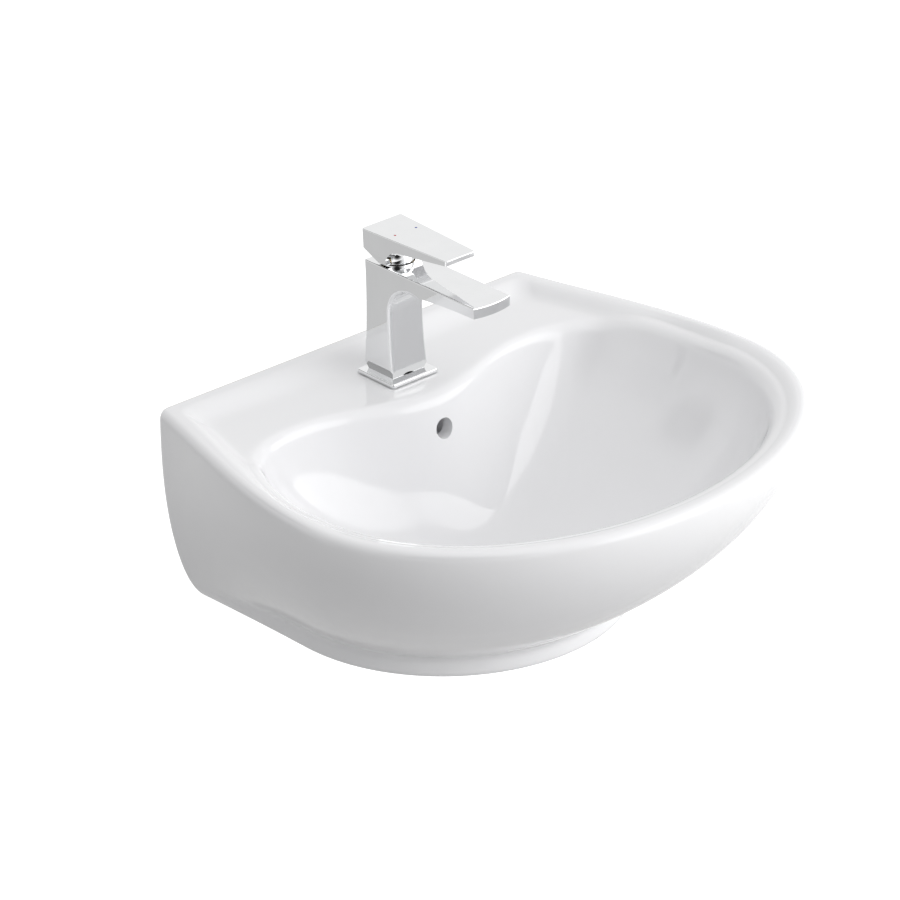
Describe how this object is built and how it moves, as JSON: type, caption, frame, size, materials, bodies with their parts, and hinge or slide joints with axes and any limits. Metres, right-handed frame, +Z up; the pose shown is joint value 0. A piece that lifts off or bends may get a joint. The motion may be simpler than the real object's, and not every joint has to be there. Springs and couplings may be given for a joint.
{
  "type": "wall-hung washbasin with mixer tap",
  "caption": "Wall-hung white ceramic basin with a sunk tap deck, overflow, foot skirt and click waste, and a chrome single-lever mixer tap whose lever swings and lifts.",
  "frame": {"origin": "on the wall plane, midway between the two fixing holes", "axes": "+Z up, +Y into the wall, +X to the user's right; the user stands on the -Y side"},
  "size_m": [0.5003, 0.4166, 0.3197],
  "materials": {
    "glaze": "glossy white glaze",
    "chrome": "polished chrome plate",
    "brass": "machined",
    "steel": "zinc-plated or stainless",
    "alumina": "lapped",
    "white_plastic": "moulded",
    "seal": "matt",
    "hot": "enamel",
    "cold": "enamel"
  },
  "bodies": {
    "basin": {"aerator_housing": "chrome", "aerator_insert": "white_plastic", "aerator_seal": "seal", "basin": "glaze", "cartridge_housing": "white_plastic", "cartridge_nut": "brass", "cartridge_seal": "seal", "click_housing": "white_plastic", "click_spring": "steel", "fixed_disc": "alumina", "fixing_nut": "brass", "fixing_stud": "steel", "horseshoe_plate": "steel", "horseshoe_seal": "seal", "tap_base_plate": "chrome", "tap_base_seal": "seal", "tap_body": "chrome", "waste_body": "chrome", "waste_bottom_seal": "seal", "waste_lock_nut": "brass", "waste_slip_washer": "white_plastic", "waste_top_seal": "seal"},
    "rotor": {"cartridge_rotor": "white_plastic", "cartridge_pin": "steel"},
    "lever": {"lever": "chrome", "lever_ball": "chrome", "lever_grub_screw": "steel", "cartridge_stem": "steel", "hot_mark": "hot", "cold_mark": "cold"},
    "disc": {"disc_carrier": "white_plastic", "moving_disc": "alumina"},
    "plug": {"plug_cap": "chrome", "plug_seal": "seal", "plug_stem": "brass"}
  },
  "joints": [
    {"name": "lever_swivel", "type": "hinge", "parent": "basin", "child": "rotor", "pos_m": [0, -0.0645, 0.207], "axis": [0, 0, 1], "range_deg": [-45, 45]},
    {"name": "lever_lift", "type": "hinge", "parent": "rotor", "child": "lever", "pos_m": [0, -0.0645, 0.207], "axis": [-1, 0, 0], "range_deg": [0, 18]},
    {"name": "disc_slide", "type": "slide", "parent": "rotor", "child": "disc", "axis": [0, -1, 0], "range_m": [0, 0.0055]},
    {"name": "plug_press", "type": "slide", "parent": "basin", "child": "plug", "axis": [0, 0, 1], "range_m": [0, 0.008], "deforming": ["click_spring"]}
  ],
  "couplings": [
    {"joint": "disc_slide", "follows": "lever_lift", "m_per_rad": 0.0171}
  ]
}
